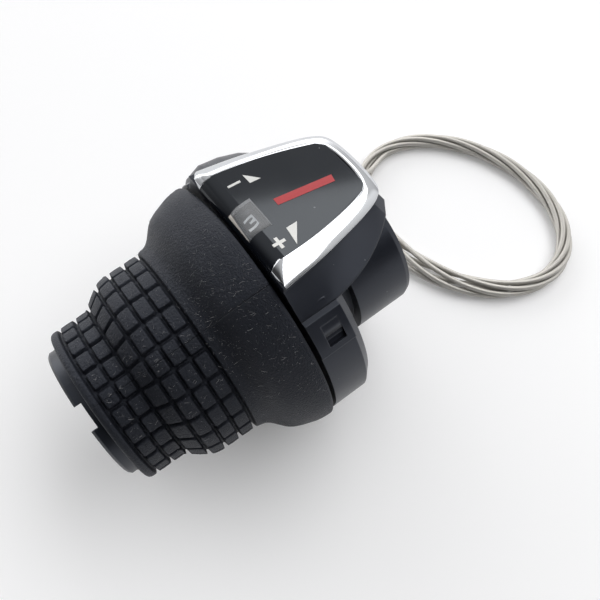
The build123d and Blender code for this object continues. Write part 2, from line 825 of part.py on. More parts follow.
# Clamp screw and nut
with BuildPart() as clamp_bolt:
    with BuildSketch(Plane.XZ.offset(-boss_front)):
        with Locations((boss_centre_x, bolt_z)):
            Circle(bolt_head_radius)
    extrude(amount=-bolt_head_height)
    with BuildSketch(Plane.XZ.offset(-boss_front)):
        with Locations((boss_centre_x, bolt_z)):
            Circle(bolt_radius)
    extrude(amount=boss_front + boss_back)
    with BuildSketch(Plane.XZ.offset(-boss_front - bolt_head_height)):
        with Locations((boss_centre_x, bolt_z)):
            RegularPolygon(bolt_key / 2, 6, major_radius=False)
    extrude(amount=bolt_key_depth, mode=Mode.SUBTRACT)

with BuildPart() as clamp_nut:
    with BuildSketch(Plane.XZ.offset(boss_back)):
        with Locations((boss_centre_x, bolt_z)):
            RegularPolygon(nut_width / 2, 6, major_radius=False)
            Circle(bolt_radius + adjuster_play, mode=Mode.SUBTRACT)
    extrude(amount=-nut_height)

# Free cable: the lead from the adjuster down to the coil
lead_points = [
    Vector(adjuster_end, exit_y, exit_z),
    Vector(31.5, exit_y, exit_z),
    Vector(38.0, 24.2, -12.0),
    Vector(44.0, 23.0, -18.2),
    Vector(49.0, 24.0, -23.4),
]
lead_radii = []
for before, corner, after in zip(lead_points, lead_points[1:], lead_points[2:]):
    bend = (corner - before).get_angle(after - corner)
    shorter = min((corner - before).length, (after - corner).length)
    lead_radii.append(0.45 * shorter / tan(radians(bend / 2)))
print("lead radii", [round(radius, 1) for radius in lead_radii])
with BuildPart() as cable_lead:
    with BuildLine() as lead_path:
        FilletPolyline(*lead_points, radius=lead_radii)
    with BuildSketch(Plane(origin=lead_points[0], z_dir=lead_points[1] - lead_points[0])):
        Circle(cable_radius)
    sweep(path=lead_path.line)
lead_length = sum(edge.length for edge in lead_path.edges())
lead_volume = pi * cable_radius**2 * lead_length
print("lead volume", round(cable_lead.part.volume, 2), "of", round(lead_volume, 2))

# Free cable: the outer shape of the coil, lying on the surface
half_bundle = coil_bundle / 2
with BuildPart() as cable_coil:
    with BuildSketch(Plane.XY.offset(floor_height)):
        with Locations(Location((coil_x, coil_y, 0), (0, 0, coil_turn))):
            Ellipse(coil_half_width + half_bundle, coil_half_length + half_bundle)
            Ellipse(coil_half_width - half_bundle, coil_half_length - half_bundle, mode=Mode.SUBTRACT)
    extrude(amount=coil_bundle)

os.makedirs("parts", exist_ok=True)
nodes = {
    "rubber_grip": rubber_grip,
    "grip_sleeve": grip_sleeve,
    "number_ring": number_ring,
    "cable_head": cable_head,
    "cable_wrap": cable_wrap,
    "cable_run": cable_run,
    "cable_guide": cable_guide,
    "base_housing": base_housing,
    "upper_cover": upper_cover,
    "chrome_bezel": chrome_bezel,
    "display_panel": display_panel,
    "window_lens": window_lens,
    "detent_spring": detent_spring,
    "thrust_washer": thrust_washer,
    "barrel_adjuster": barrel_adjuster,
    "adjuster_spring": adjuster_spring,
    "clamp_bolt": clamp_bolt,
    "clamp_nut": clamp_nut,
    "cable_lead": cable_lead,
    "cable_coil": cable_coil,
}
for node_name, builder in nodes.items():
    builder.part.label = node_name
    export_step(builder.part, f"parts/{node_name}.step")
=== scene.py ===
# %% [markdown]
# # A twist grip shifter, dressed for a photograph
# The solids of this bicycle shifter come from a CAD model, already in place and in metres.
# This lesson loads them as a fixed frame, sets up camera, cable and light, and then gives each piece
# the surface that the real one has: moulded rubber, satin and polished plastic, chrome and steel wire.

# %% Load the frame
import math
import random

import bmesh
import bpy
import numpy as np
from mathutils import Matrix, Vector


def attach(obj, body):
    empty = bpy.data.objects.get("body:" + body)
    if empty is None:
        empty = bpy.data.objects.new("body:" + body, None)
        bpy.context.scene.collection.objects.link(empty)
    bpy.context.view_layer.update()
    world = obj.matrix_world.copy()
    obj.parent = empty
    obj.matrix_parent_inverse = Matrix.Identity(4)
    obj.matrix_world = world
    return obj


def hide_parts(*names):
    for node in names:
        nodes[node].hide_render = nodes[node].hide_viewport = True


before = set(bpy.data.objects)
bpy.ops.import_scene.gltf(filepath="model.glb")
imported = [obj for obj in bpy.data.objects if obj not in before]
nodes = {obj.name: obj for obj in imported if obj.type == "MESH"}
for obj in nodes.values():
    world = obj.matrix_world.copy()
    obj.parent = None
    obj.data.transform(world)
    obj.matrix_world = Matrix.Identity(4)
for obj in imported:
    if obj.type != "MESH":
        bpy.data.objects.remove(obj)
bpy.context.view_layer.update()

MM = 0.001


# %% [markdown]
# ## The camera
# The photograph looks down on the grip from behind, with the bar running up to the right. A camera is a
# place and three directions, so the matrix is written straight from them: right, up and backwards.
# A lens of 42 mm on the usual 36 mm sensor gives the same perspective.

# %% Camera
right = Vector((0.80398, -0.58824, -0.08717))
up = Vector((0.55779, 0.69517, 0.45343))
back = Vector((-0.20613, -0.41317, 0.88701))
camera_place = Vector((-21.58, -64.35, 126.30)) * MM
camera_data = bpy.data.cameras.new("photo_camera")
camera_data.lens = 42.156
camera_data.clip_start = 0.005
camera = bpy.data.objects.new("photo_camera", camera_data)
bpy.context.scene.collection.objects.link(camera)
turn = Matrix((right, up, back)).transposed().to_4x4()
camera.matrix_world = Matrix.Translation(camera_place) @ turn
bpy.context.scene.camera = camera
print("camera", [round(c, 4) for c in camera.location], "lens", round(camera_data.lens, 2))

# %% [markdown]
# ## The gear cable
# A bare steel inner cable, 1.2 mm thick and about a metre long, leaves the adjuster and lies beside the
# shifter in a coil. A coil wound by hand is a loose rope: six turns lie in a ring, the seventh runs inside
# it, and the ring twists twice on its way round. So a loop walks round the oval and, at every step, swings
# the control point round the rope's middle, by a little more than two turns in each round. That little more
# is one sixth, which brings each turn to the place next to the last one. On the side of the shifter nothing
# presses the turns together, so there they spread a little.

# %% The cable's control points
cable, floor_z = 1.2, -27.1
coil_centre = Vector((60.57, 1.31))
half_axes = Vector((19.19, 27.46))
oval_turn = math.radians(13.5)
start_angle, start_lay = math.radians(92), math.radians(135)
places, twists, rounds, steps = 6, 2, 6.7, 40
slack, spread, move_in = 1.05, 0.75, 0.25
ring = 0.5 * slack * cable / math.sin(math.pi / places)
lead = [
    (25.1, 24.837, -8.0846), (31.5, 24.837, -8.0846), (38.0, 24.2, -12.0),
    (44.0, 23.0, -18.2), (49.0, 24.0, -23.4),
]


def coil_point(walked):
    """Point of the coil after so many rounds, in millimetres."""
    angle = start_angle - 2 * math.pi * walked
    loose = ring * (slack + spread * max(-math.cos(angle), 0.0) ** 2)
    inward = min(max((walked - places + move_in) / move_in, 0.0), 1.0)
    lay = start_lay + 2 * math.pi * walked * (twists + 1 / places)
    out, rise = loose * (1 - inward) * math.cos(lay), ring * (1 - inward) * math.sin(lay)
    flat = Matrix.Rotation(oval_turn, 2) @ Vector(
        ((half_axes.x + out) * math.cos(angle), (half_axes.y + out) * math.sin(angle))
    )
    return (*(coil_centre + flat), floor_z + cable / 2 + ring + rise)


points = lead + [coil_point(i / steps) for i in range(1, int(rounds * steps) + 1)]
reach = sum((Vector(b) - Vector(a)).length for a, b in zip(points, points[1:]))
print("control points", len(points), "polygon length", round(reach), "mm")

# %% The cable as one curve
curve = bpy.data.curves.new("gear_cable", "CURVE")
curve.dimensions = "3D"
line = curve.splines.new("NURBS")
line.points.add(len(points) - 1)
for point, co in zip(line.points, points):
    point.co = (*(Vector(co) * MM), 1)
    point.radius = cable / 2 * MM
line.order_u = 3
line.use_endpoint_u = True
curve.resolution_u = 6
curve.bevel_depth = 1.0
curve.bevel_resolution = 3
curve.use_fill_caps = True
gear_cable = bpy.data.objects.new("gear_cable", curve)
bpy.context.scene.collection.objects.link(gear_cable)
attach(gear_cable, "housing")
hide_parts("cable_lead", "cable_coil")
print("gear cable", cable, "mm thick, with", len(line.points), "points on one spline")

# %% [markdown]
# ## The floor
# The shifter lies on a white table that runs on out of sight. A curved backdrop would do, but a flat sheet
# is enough here: far from the shifter its finish fades to plain white, for the camera and for mirrors, and
# close by it keeps the soft shadow.

# %% Floor sheet
half_size = 3.0
sheet = bmesh.new()
bmesh.ops.create_grid(sheet, x_segments=8, y_segments=8, size=half_size)
floor_mesh = bpy.data.meshes.new("table_top")
sheet.to_mesh(floor_mesh)
floor = bpy.data.objects.new("table_top", floor_mesh)
floor.location.z = floor_z * MM
bpy.context.scene.collection.objects.link(floor)
print("floor at", floor_z, "mm")


# %% Helpers for node trees
def start_finish(name):
    """New node material: gives the material, its node tree and its Principled shader."""
    material = bpy.data.materials.new(name)
    material.use_nodes = True
    tree = material.node_tree
    return material, tree, tree.nodes["Principled BSDF"]


def add_node(tree, kind, **values):
    """New node of a kind in a tree; values set its options or its inputs by name."""
    made = tree.nodes.new("ShaderNode" + kind)
    for label, value in values.items():
        if hasattr(made, label):
            setattr(made, label, value)
        else:
            made.inputs[label.replace("_", " ")].default_value = value
    return made


def sum_up(tree, operation, first, second=0.0):
    """Math node on two sockets or numbers; gives its output."""
    made = add_node(tree, "Math", operation=operation)
    for socket, value in zip(made.inputs, (first, second)):
        if isinstance(value, (int, float)):
            socket.default_value = value
        else:
            tree.links.new(value, socket)
    return made.outputs[0]


def fade(tree, source, start, end, low=0.0, high=1.0):
    """Smooth ramp of a value; gives its output."""
    ramp = add_node(tree, "MapRange", interpolation_type="SMOOTHSTEP")
    for label, value in (("From Min", start), ("From Max", end), ("To Min", low), ("To Max", high)):
        ramp.inputs[label].default_value = value
    tree.links.new(source, ramp.inputs["Value"])
    return ramp.outputs["Result"]


print("helpers: start_finish, add_node, sum_up, fade")

# %% Finish: table white
near_floor, far_floor, near_glow, far_glow = 0.7, 2.5, 0.145, 0.9
table_white, tree, shader = start_finish("table_white")
shader.inputs["Roughness"].default_value = 0.6
shader.inputs["Specular IOR Level"].default_value = 0.2
cloudy = add_node(tree, "TexNoise", Scale=3.0)
tint = add_node(tree, "ValToRGB")
tint.color_ramp.elements[0].color = (0.86, 0.86, 0.87, 1)
tint.color_ramp.elements[1].color = (0.89, 0.89, 0.895, 1)
tree.links.new(cloudy.outputs["Fac"], tint.inputs["Fac"])
tree.links.new(tint.outputs["Color"], shader.inputs["Base Color"])
place = add_node(tree, "TexCoord")
away = add_node(tree, "VectorMath", operation="LENGTH")
tree.links.new(place.outputs["Object"], away.inputs[0])
path = add_node(tree, "LightPath")
seen = sum_up(tree, "MAXIMUM", path.outputs["Is Glossy Ray"], path.outputs["Is Transmission Ray"])
seen = sum_up(tree, "MAXIMUM", path.outputs["Is Camera Ray"], seen)
glow = fade(tree, away.outputs["Value"], near_floor, far_floor, near_glow, far_glow)
paleness = sum_up(tree, "MULTIPLY", seen, glow)
shader.inputs["Emission Color"].default_value = (1, 1, 1, 1)
tree.links.new(paleness, shader.inputs["Emission Strength"])
floor_mesh.materials.append(table_white)
print("table_white fades from", near_floor, "to", far_floor, "m")

# %% [markdown]
# ## Lamp and room
# One wide lamp hangs above and to the right, so the shadow is soft and falls away from the coil. A room
# fills in the rest. It could be a picture of a studio, but a few ramps over the direction are enough: a room
# that is brighter on one side, and two pale windows that give the gloss of panel and chrome something to
# show. Where the camera looks straight at the room, it's white.

# %% Lamp
lamp_radiance = 2.6
lamp_data = bpy.data.lights.new("overhead_softbox", "AREA")
lamp_data.shape = "RECTANGLE"
lamp_data.size, lamp_data.size_y = 1.3, 2.5
lamp_data.energy = math.pi * lamp_data.size * lamp_data.size_y * lamp_radiance
lamp = bpy.data.objects.new("overhead_softbox", lamp_data)
lamp.location = (1.18, -0.18, 1.5)
lamp.rotation_euler.z = math.radians(-12)
bpy.context.scene.collection.objects.link(lamp)
print("lamp", round(lamp_data.energy, 2), "W at a height of", round(lamp.location.z / MM), "mm")

# %% Room
bright_side, side_window_way = (0.5, 0.5, 0.707), (0.86, -0.34, 0.38)
window_light, side_window_light, mirror_gain = 1.9, 0.4, 1.1
world = bpy.data.worlds.new("white_room")
bpy.context.scene.world = world
world.use_nodes = True
air = world.node_tree
path = add_node(air, "LightPath")
way = add_node(air, "TexCoord")
apart = add_node(air, "SeparateXYZ")
air.links.new(way.outputs["Generated"], apart.inputs["Vector"])


def facing(direction):
    """How far a ray's way agrees with a direction, up to 1; gives its output."""
    made = add_node(air, "VectorMath", operation="DOT_PRODUCT")
    air.links.new(way.outputs["Generated"], made.inputs[0])
    made.inputs[1].default_value = direction
    return made.outputs["Value"]


room = fade(air, facing(bright_side), 0.0, 0.9, 0.05, 0.7)
low_band = fade(air, apart.outputs["Z"], 0.62, 0.5, 0.0, window_light)
window = sum_up(air, "MULTIPLY", fade(air, apart.outputs["Y"], 0.5, 0.85), low_band)
side_window = fade(air, facing(side_window_way), 0.88, 0.96, 0.0, side_window_light)
window = sum_up(air, "ADD", window, side_window)
mirrored = sum_up(air, "MAXIMUM", path.outputs["Is Glossy Ray"], path.outputs["Is Transmission Ray"])
gain = fade(air, mirrored, 0.0, 1.0, 1.0, mirror_gain)
lit = sum_up(air, "MULTIPLY", sum_up(air, "ADD", room, window), gain)
strength = sum_up(air, "MAXIMUM", lit, path.outputs["Is Camera Ray"])
air.links.new(strength, air.nodes["Background"].inputs["Strength"])
air.nodes["Background"].inputs["Color"].default_value = (1, 1, 1, 1)
bpy.context.scene.view_settings.view_transform = "Standard"
print("room with", len(air.nodes), "nodes")

# %% [markdown]
# ## Effects that several finishes share
# Moulded parts all carry some fine grain from the mould, some dust, and edges that are never quite sharp.
# Each of these is a node group, built once and placed in every finish with its own values. Coordinates are
# the object's own, which here are metres in the shared frame, so sizes are real.

# %% Group: mould grain
def start_group(name, inputs, outputs):
    """New node group with float inputs (name, value) and outputs; gives its tree, its in and its out."""
    group = bpy.data.node_groups.new(name, "ShaderNodeTree")
    for label, value in inputs:
        socket = group.interface.new_socket(label, in_out="INPUT", socket_type="NodeSocketFloat")
        socket.default_value = value
    for label in outputs:
        group.interface.new_socket(label, in_out="OUTPUT", socket_type="NodeSocketFloat")
    return group, group.nodes.new("NodeGroupInput"), group.nodes.new("NodeGroupOutput")


mould_grain, given, out = start_group("mould_grain", [("Size mm", 0.2)], ["Height", "Patches"])
place = add_node(mould_grain, "TexCoord")
fine = add_node(mould_grain, "TexNoise", Detail=3.0, Roughness=0.65)
per_metre = sum_up(mould_grain, "DIVIDE", 1 / MM, given.outputs["Size mm"])
mould_grain.links.new(per_metre, fine.inputs["Scale"])
broad = add_node(mould_grain, "TexNoise", Scale=90.0, Detail=4.0)
for texture in (fine, broad):
    mould_grain.links.new(place.outputs["Object"], texture.inputs["Vector"])
mould_grain.links.new(fine.outputs["Fac"], out.inputs["Height"])
mould_grain.links.new(broad.outputs["Fac"], out.inputs["Patches"])
print("group mould_grain with", len(mould_grain.nodes), "nodes")

# %% Group: dust
widest_speck = 0.2
dust_specks, given, out = start_group("dust_specks", [("Spacing mm", 1.0), ("Share", 0.4)], ["Specks"])
place = add_node(dust_specks, "TexCoord")
cells = add_node(dust_specks, "TexVoronoi", feature="F1")
dust_specks.links.new(place.outputs["Object"], cells.inputs["Vector"])
per_metre = sum_up(dust_specks, "DIVIDE", 1 / MM, given.outputs["Spacing mm"])
dust_specks.links.new(per_metre, cells.inputs["Scale"])
kept = add_node(dust_specks, "SeparateColor")
dust_specks.links.new(cells.outputs["Color"], kept.inputs["Color"])
speck = sum_up(dust_specks, "MULTIPLY", kept.outputs["Green"], widest_speck)
near = sum_up(dust_specks, "LESS_THAN", cells.outputs["Distance"], speck)
chosen = sum_up(dust_specks, "LESS_THAN", kept.outputs["Red"], given.outputs["Share"])
dust_specks.links.new(sum_up(dust_specks, "MULTIPLY", near, chosen), out.inputs["Specks"])
print("group dust_specks with", len(dust_specks.nodes), "nodes")

# %% Group: edge mask
worn_edges, given, out = start_group("worn_edges", [("Width mm", 0.3)], ["Edge"])
bevel = add_node(worn_edges, "Bevel", samples=4)
worn_edges.links.new(sum_up(worn_edges, "MULTIPLY", given.outputs["Width mm"], MM), bevel.inputs["Radius"])
face = add_node(worn_edges, "NewGeometry")
likeness = add_node(worn_edges, "VectorMath", operation="DOT_PRODUCT")
worn_edges.links.new(bevel.outputs["Normal"], likeness.inputs[0])
worn_edges.links.new(face.outputs["Normal"], likeness.inputs[1])
edge = add_node(worn_edges, "MapRange", From_Min=0.999, From_Max=0.9)
worn_edges.links.new(likeness.outputs["Value"], edge.inputs["Value"])
worn_edges.links.new(edge.outputs["Result"], out.inputs["Edge"])
print("group worn_edges with", len(worn_edges.nodes), "nodes")


# %% Placing groups in a finish
colour_inputs, colour_output = slice(6, 8), 2
usual_low, usual_high = 0.3, 0.7


def place_group(tree, group, **values):
    """Puts a shared effect into a finish, with its own values."""
    made = tree.nodes.new("ShaderNodeGroup")
    made.node_tree = group
    for label, value in values.items():
        made.inputs[label.replace("_", " ")].default_value = value
    return made


def mix_colour(tree, share, first, second):
    """Colour mix of two colours or sockets; gives its output."""
    made = add_node(tree, "Mix", data_type="RGBA")
    tree.links.new(share, made.inputs[0])
    for socket, value in zip(made.inputs[colour_inputs], (first, second)):
        if isinstance(value, tuple):
            socket.default_value = (*value, 1)
        else:
            tree.links.new(value, socket)
    return made.outputs[colour_output]


def soften_and_bump(tree, shader, height, depth, edge_mm):
    """Rounds the edges that the shader sees and lays a bump over them; depth and edge are millimetres."""
    bevel = add_node(tree, "Bevel", samples=12, Radius=edge_mm * MM)
    bump = add_node(tree, "Bump", Strength=1.0, Distance=depth * MM)
    tree.links.new(height, bump.inputs["Height"])
    tree.links.new(bevel.outputs["Normal"], bump.inputs["Normal"])
    tree.links.new(bump.outputs["Normal"], shader.inputs["Normal"])


def vary(tree, shader, socket, source, low, high):
    """Lets a value of the shader wander between low and high with a noise, over the noise's usual span."""
    span = add_node(tree, "MapRange", From_Min=usual_low, From_Max=usual_high, To_Min=low, To_Max=high)
    tree.links.new(source, span.inputs["Value"])
    tree.links.new(span.outputs["Result"], shader.inputs[socket])


print("helpers: place_group, mix_colour, soften_and_bump, vary")

# %% [markdown]
# ## Grip rubber
# The grip is soft black rubber straight from the mould: matt, with a grain like fine sandpaper, a dusty
# grey cast in places, and pale specks. Its upper half is painted lighter, with a paler grain, and its lower
# half painted darker: painted light on top and painted shade below. A fine line shows where the mould halves
# met. Both follow from the angle round the bar, so the finish needs no drawn map of the surface.

# %% Finish: grip rubber
parting_turn, line_width, line_height = math.radians(25), 0.006, 1.5
grip_rubber, tree, shader = start_finish("grip_rubber")
grain = place_group(tree, mould_grain, Size_mm=0.4)
dust = place_group(tree, dust_specks, Spacing_mm=0.55, Share=0.12)
place = add_node(tree, "TexCoord")
apart = add_node(tree, "SeparateXYZ")
tree.links.new(place.outputs["Object"], apart.inputs["Vector"])
turn_round = sum_up(tree, "ARCTAN2", apart.outputs["Y"], apart.outputs["Z"])
from_line = sum_up(tree, "ADD", turn_round, parting_turn)
# Painted light and shade: this mask is 1 on the top half, above the parting line, which gets the lighter
# colours.
painted_light_upper_half = fade(tree, from_line, -0.02, 0.05)
beside_line = fade(tree, sum_up(tree, "ABSOLUTE", from_line), 0.0, line_width)
# Lower colours are painted shade on the underside, upper colours painted light on the top; within each, tone
# wanders with the grain's patches.
lower = mix_colour(tree, grain.outputs["Patches"], (0.0025, 0.003, 0.0055), (0.006, 0.007, 0.011))
upper = mix_colour(tree, grain.outputs["Patches"], (0.005, 0.006, 0.010), (0.013, 0.0145, 0.020))
colour = mix_colour(tree, painted_light_upper_half, lower, upper)
# Grain tops turn paler only on the upper half: grain colour plus painted light where light falls.
grain_and_painted_light = fade(tree, grain.outputs["Height"], 0.52, 0.8, 0.0, 0.55)
colour = mix_colour(tree, sum_up(tree, "MULTIPLY", grain_and_painted_light, painted_light_upper_half), colour, (0.05, 0.052, 0.06))
colour = mix_colour(tree, dust.outputs["Specks"], colour, (0.11, 0.11, 0.12))
tree.links.new(colour, shader.inputs["Base Color"])
vary(tree, shader, "Roughness", grain.outputs["Patches"], 0.48, 0.62)
shader.inputs["Specular IOR Level"].default_value = 0.4
# The bluish Specular Tint is a painted reflection colour: a bluish room painted into the gloss.
shader.inputs["Specular Tint"].default_value = (0.80, 0.86, 1.0, 1)
parting = sum_up(tree, "MULTIPLY", beside_line, line_height)
relief = sum_up(tree, "ADD", grain.outputs["Height"], parting)
soften_and_bump(tree, shader, relief, 0.3, 0.1)
print("grip_rubber with", len(tree.nodes), "nodes")

# %% [markdown]
# ## Housing plastic
# Housing, cover, sleeve and adjuster are black nylon with a satin, finely spark-eroded surface. Edges are
# rubbed a little greyer than the faces. Real edges also have a small radius. The solids could get a bevel,
# but here the shader's own bevel rounds what the light sees and leaves the solids as they are.

# %% Finish: black plastic
black_plastic, tree, shader = start_finish("black_plastic")
grain = place_group(tree, mould_grain, Size_mm=0.12)
wear = place_group(tree, worn_edges, Width_mm=0.35)
dust = place_group(tree, dust_specks, Spacing_mm=0.8, Share=0.06)
colour = mix_colour(tree, grain.outputs["Patches"], (0.005, 0.006, 0.010), (0.012, 0.0135, 0.019))
colour = mix_colour(tree, wear.outputs["Edge"], colour, (0.030, 0.032, 0.038))
colour = mix_colour(tree, dust.outputs["Specks"], colour, (0.12, 0.12, 0.13))
tree.links.new(colour, shader.inputs["Base Color"])
vary(tree, shader, "Roughness", grain.outputs["Patches"], 0.30, 0.42)
# The bluish Specular Tint is a painted reflection colour: a bluish room painted into the gloss.
shader.inputs["Specular Tint"].default_value = (0.80, 0.86, 1.0, 1)
soften_and_bump(tree, shader, grain.outputs["Height"], 0.012, 0.25)
print("black_plastic with", len(tree.nodes), "nodes")

# %% [markdown]
# ## Panel, lens and number ring
# The display panel is polished black plastic. A clear lens in it shows the number ring on the drum, which
# is dark grey plastic. Glass would be the usual shader for a lens, but over a dark, narrow opening it gives a
# noisy picture. So the lens is a thin film: its cover is the share that its own pale surface gives back, and
# the rest is seen through. Its foot is creamy. Its walls in the opening are dark and without gloss, as
# painted shade in the opening.

# %% Finish: panel gloss
panel_gloss, tree, shader = start_finish("panel_gloss")
grain = place_group(tree, mould_grain, Size_mm=2.5)
dust = place_group(tree, dust_specks, Spacing_mm=0.9, Share=0.03)
colour = mix_colour(tree, grain.outputs["Patches"], (0.003, 0.004, 0.007), (0.006, 0.007, 0.010))
colour = mix_colour(tree, dust.outputs["Specks"], colour, (0.12, 0.12, 0.13))
tree.links.new(colour, shader.inputs["Base Color"])
vary(tree, shader, "Roughness", grain.outputs["Patches"], 0.05, 0.09)
# The bluish Specular Tint is a painted reflection colour: a bluish room painted into the gloss.
shader.inputs["Specular Tint"].default_value = (0.88, 0.94, 1.0, 1)
soften_and_bump(tree, shader, grain.outputs["Height"], 0.001, 0.12)
print("panel_gloss with", len(tree.nodes), "nodes")

# %% Finishes: clear lens, its foot and its walls
def lens_finish(name, low, high, cover, rough, index):
    """Clear plastic as a film: cover is the share that isn't seen through, index sets how much it shines."""
    lens, tree, shader = start_finish(name)
    grain = place_group(tree, mould_grain, Size_mm=0.8)
    tree.links.new(mix_colour(tree, grain.outputs["Patches"], low, high), shader.inputs["Base Color"])
    vary(tree, shader, "Roughness", grain.outputs["Patches"], rough, rough + 0.04)
    shader.inputs["Alpha"].default_value = cover
    shader.inputs["IOR"].default_value = index
    rays, through = add_node(tree, "LightPath"), add_node(tree, "BsdfTransparent")
    blend = add_node(tree, "MixShader")
    inside = add_node(tree, "NewGeometry").outputs["Backfacing"]
    open_to = sum_up(tree, "MAXIMUM", rays.outputs["Is Shadow Ray"], inside)
    tree.links.new(open_to, blend.inputs["Fac"])
    tree.links.new(shader.outputs["BSDF"], blend.inputs[1])
    tree.links.new(through.outputs["BSDF"], blend.inputs[2])
    tree.links.new(blend.outputs["Shader"], tree.nodes["Material Output"].inputs["Surface"])
    return lens


clear_lens = lens_finish("clear_lens", (0.30, 0.31, 0.325), (0.33, 0.34, 0.355), 0.45, 0.45, 2.0)
lens_cream = lens_finish("lens_cream", (0.78, 0.72, 0.66), (0.88, 0.83, 0.77), 0.75, 0.2, 1.45)

# lens_shade: dark, matt colour for the walls of the opening, painted shade.
lens_shade, tree, shader = start_finish("lens_shade")
grain = place_group(tree, mould_grain, Size_mm=0.6)
colour = mix_colour(tree, grain.outputs["Patches"], (0.014, 0.015, 0.017), (0.028, 0.03, 0.033))
tree.links.new(colour, shader.inputs["Base Color"])
vary(tree, shader, "Roughness", grain.outputs["Patches"], 0.7, 0.85)
shader.inputs["Specular IOR Level"].default_value = 0.0
print("lens finishes", clear_lens.name, lens_cream.name, lens_shade.name)

# %% Finish: dial plastic
dial_plastic, tree, shader = start_finish("dial_plastic")
grain = place_group(tree, mould_grain, Size_mm=0.25)
colour = mix_colour(tree, grain.outputs["Patches"], (0.025, 0.026, 0.028), (0.05, 0.051, 0.054))
tree.links.new(colour, shader.inputs["Base Color"])
vary(tree, shader, "Roughness", grain.outputs["Patches"], 0.45, 0.6)
soften_and_bump(tree, shader, grain.outputs["Height"], 0.01, 0.15)
print("dial_plastic with", len(tree.nodes), "nodes")

# %% [markdown]
# ## Metals
# The bezel is chrome-plated plastic: a mirror with a trace of waviness. The cable is stranded stainless wire.
# Its strands could be modelled, but they are a fifth of a millimetre thick and would cost a great many faces,
# so a bump of fine ridges along the curve shows them. Screw, nut and springs are zinc-plated steel.

# %% Finish: bright chrome
bright_chrome, tree, shader = start_finish("bright_chrome")
grain = place_group(tree, mould_grain, Size_mm=3.0)
dust = place_group(tree, dust_specks, Spacing_mm=0.9, Share=0.03)
colour = mix_colour(tree, grain.outputs["Patches"], (0.56, 0.575, 0.60), (0.63, 0.64, 0.66))
colour = mix_colour(tree, dust.outputs["Specks"], colour, (0.55, 0.55, 0.55))
tree.links.new(colour, shader.inputs["Base Color"])
shader.inputs["Metallic"].default_value = 1.0
vary(tree, shader, "Roughness", grain.outputs["Patches"], 0.05, 0.11)
waviness = add_node(tree, "Bump", Strength=1.0, Distance=0.0008 * MM)
tree.links.new(grain.outputs["Height"], waviness.inputs["Height"])
tree.links.new(waviness.outputs["Normal"], shader.inputs["Normal"])
print("bright_chrome with", len(tree.nodes), "nodes")

# %% Finish: cable steel
cable_steel, tree, shader = start_finish("cable_steel")
grain = place_group(tree, mould_grain, Size_mm=0.5)
colour = mix_colour(tree, grain.outputs["Patches"], (0.47, 0.455, 0.42), (0.62, 0.60, 0.565))
tree.links.new(colour, shader.inputs["Base Color"])
shader.inputs["Metallic"].default_value = 0.75
vary(tree, shader, "Roughness", grain.outputs["Patches"], 0.38, 0.52)
along = add_node(tree, "TexCoord")
strands = add_node(tree, "TexWave", bands_direction="DIAGONAL", Scale=1.0)
stretch = add_node(tree, "Mapping")
stretch.inputs["Scale"].default_value = (2000.0, 6.0, 1.0)
tree.links.new(along.outputs["UV"], stretch.inputs["Vector"])
tree.links.new(stretch.outputs["Vector"], strands.inputs["Vector"])
soften_and_bump(tree, shader, strands.outputs["Fac"], 0.04, 0.02)
print("cable_steel with", len(tree.nodes), "nodes")

# %% Finish: plain steel
plain_steel, tree, shader = start_finish("plain_steel")
grain = place_group(tree, mould_grain, Size_mm=0.3)
wear = place_group(tree, worn_edges, Width_mm=0.2)
colour = mix_colour(tree, grain.outputs["Patches"], (0.42, 0.42, 0.43), (0.58, 0.58, 0.58))
colour = mix_colour(tree, wear.outputs["Edge"], colour, (0.72, 0.72, 0.71))
tree.links.new(colour, shader.inputs["Base Color"])
shader.inputs["Metallic"].default_value = 1.0
vary(tree, shader, "Roughness", grain.outputs["Patches"], 0.25, 0.42)
soften_and_bump(tree, shader, grain.outputs["Height"], 0.01, 0.15)
print("plain_steel with", len(tree.nodes), "nodes")

# %% [markdown]
# ## Cable guide and inks
# The guide inside the housing is pale plastic on which the cable slides. The numbers are white ink, the marks
# on the panel silver foil and red ink. The ring lies in a deep opening, where the real lens gathers light for
# the numbers. A weak glow in the white ink stands in for that.

# %% Finish: guide plastic
guide_plastic, tree, shader = start_finish("guide_plastic")
grain = place_group(tree, mould_grain, Size_mm=0.3)
colour = mix_colour(tree, grain.outputs["Patches"], (0.50, 0.50, 0.48), (0.62, 0.62, 0.60))
tree.links.new(colour, shader.inputs["Base Color"])
vary(tree, shader, "Roughness", grain.outputs["Patches"], 0.35, 0.5)
soften_and_bump(tree, shader, grain.outputs["Height"], 0.01, 0.1)
print("guide_plastic with", len(tree.nodes), "nodes")

# %% Finishes: printing inks
glow_strength = 0.35


def printing_ink(name, thin, full, rough, metal):
    """Ink or foil, a little uneven where it was pressed on."""
    ink, tree, shader = start_finish(name)
    grain = place_group(tree, mould_grain, Size_mm=0.15)
    colour = mix_colour(tree, grain.outputs["Height"], thin, full)
    tree.links.new(colour, shader.inputs["Base Color"])
    shader.inputs["Metallic"].default_value = metal
    vary(tree, shader, "Roughness", grain.outputs["Patches"], rough, rough + 0.12)
    soften_and_bump(tree, shader, grain.outputs["Height"], 0.004, 0.03)
    return ink


white_ink = printing_ink("white_ink", (0.72, 0.72, 0.71), (0.86, 0.86, 0.85), 0.35, 0.0)
silver_foil = printing_ink("silver_foil", (0.48, 0.48, 0.47), (0.60, 0.60, 0.58), 0.30, 0.5)
red_ink = printing_ink("red_ink", (0.36, 0.013, 0.018), (0.46, 0.018, 0.026), 0.30, 0.0)
number_glow = white_ink.node_tree.nodes["Principled BSDF"].inputs
number_glow["Emission Color"].default_value = (0.85, 0.93, 1.0, 1)
number_glow["Emission Strength"].default_value = glow_strength
print("inks", white_ink.name, silver_foil.name, red_ink.name)

